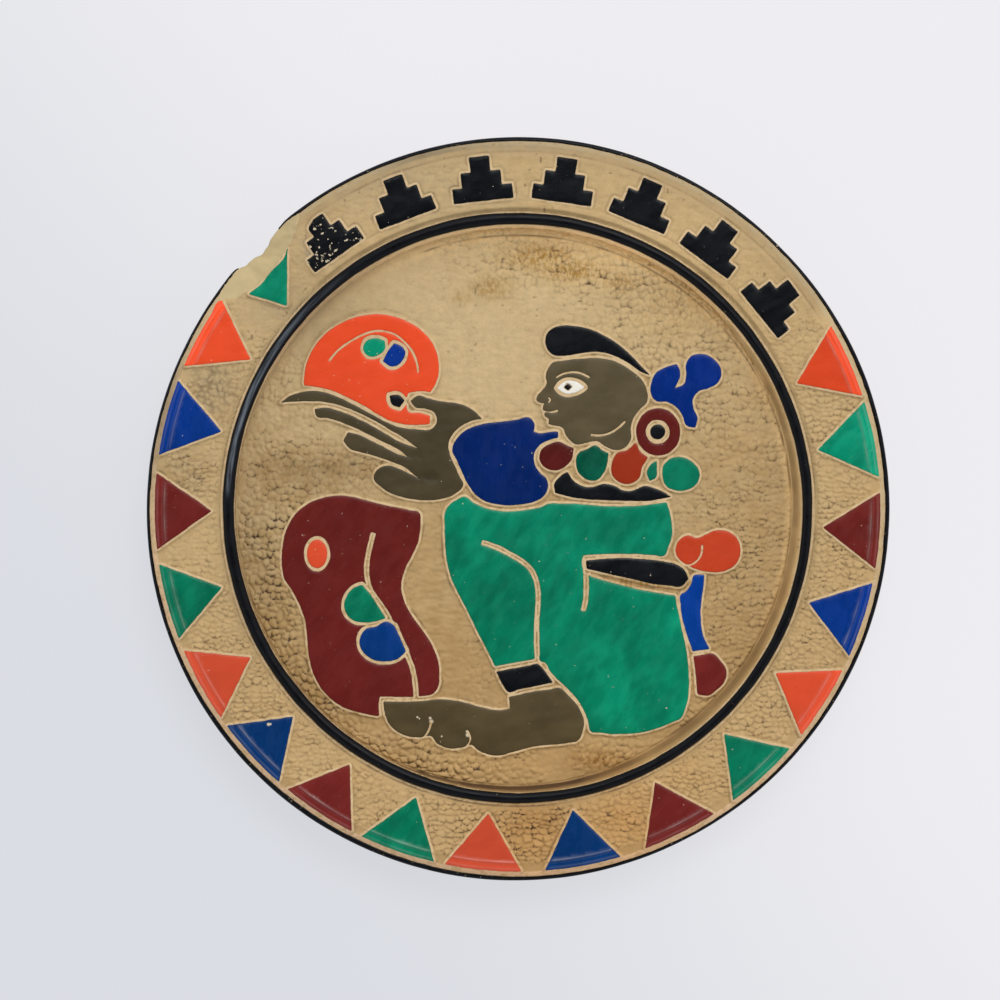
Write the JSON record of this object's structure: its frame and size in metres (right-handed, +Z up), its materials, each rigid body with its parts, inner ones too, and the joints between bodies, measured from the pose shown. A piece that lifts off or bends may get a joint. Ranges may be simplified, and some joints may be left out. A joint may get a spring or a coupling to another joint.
{
  "type": "pottery plate",
  "caption": "Round pottery plate with a wide rim, a sunken well and a foot ring, carved and painted with a seated figure inside a border of triangles and stepped blocks.",
  "frame": {"origin": "centre of the foot ring's resting face, on the plate's axis", "axes": "+Z up the plate's axis, out of the well; +Y to the top of the picture; +X to its right"},
  "size_m": [0.3078, 0.3078, 0.0242],
  "materials": {
    "clay": "bare fired clay, tooled, brushed with dirt in the hollows",
    "orange": "brushed satin enamel",
    "green": "brushed satin enamel",
    "blue": "brushed satin enamel",
    "maroon": "brushed satin enamel",
    "black": "glossy enamel, scuffed at the edge",
    "olive": "thin brown-olive wash, satin",
    "white": "satin enamel"
  },
  "bodies": {
    "root": {"plate_body": "clay", "foot_ring": "clay", "well_bead": "black", "edge_band": "black", "rim_triangle_1_orange": "orange", "rim_triangle_2_green": "green", "rim_triangle_3_maroon": "maroon", "rim_triangle_4_blue": "blue", "rim_triangle_5_orange": "orange", "rim_triangle_6_green": "green", "rim_triangle_7_maroon": "maroon", "rim_triangle_8_blue": "blue", "rim_triangle_9_orange": "orange", "rim_triangle_10_green": "green", "rim_triangle_11_maroon": "maroon", "rim_triangle_12_blue": "blue", "rim_triangle_13_orange": "orange", "rim_triangle_14_green": "green", "rim_triangle_15_maroon": "maroon", "rim_triangle_16_blue": "blue", "rim_triangle_17_orange": "orange", "rim_triangle_18_green": "green", "rim_block_1": "black", "rim_block_2": "black", "rim_block_3": "black", "rim_block_4": "black", "rim_block_5": "black", "rim_block_6": "black", "rim_block_7": "black", "creature_head": "orange", "creature_eye": "green", "creature_pupil": "blue", "creature_mouth": "black", "reaching_hand": "olive", "sleeve": "blue", "face": "olive", "eye": "white", "pupil": "black", "hair_roll": "black", "headdress_knot": "blue", "ear_flare": "maroon", "ear_flare_centre": "black", "bead_maroon": "maroon", "bead_green": "green", "bead_orange": "orange", "bead_small": "green", "bead_large": "green", "collar": "black", "cloak": "maroon", "cloak_disc": "orange", "cloak_green_lobe": "green", "cloak_blue_lobe": "blue", "robe": "green", "belt": "black", "sash": "blue", "sash_end": "maroon", "sash_knot": "orange", "black_anklet": "black", "foot_of_figure": "olive"}
  },
  "joints": []
}
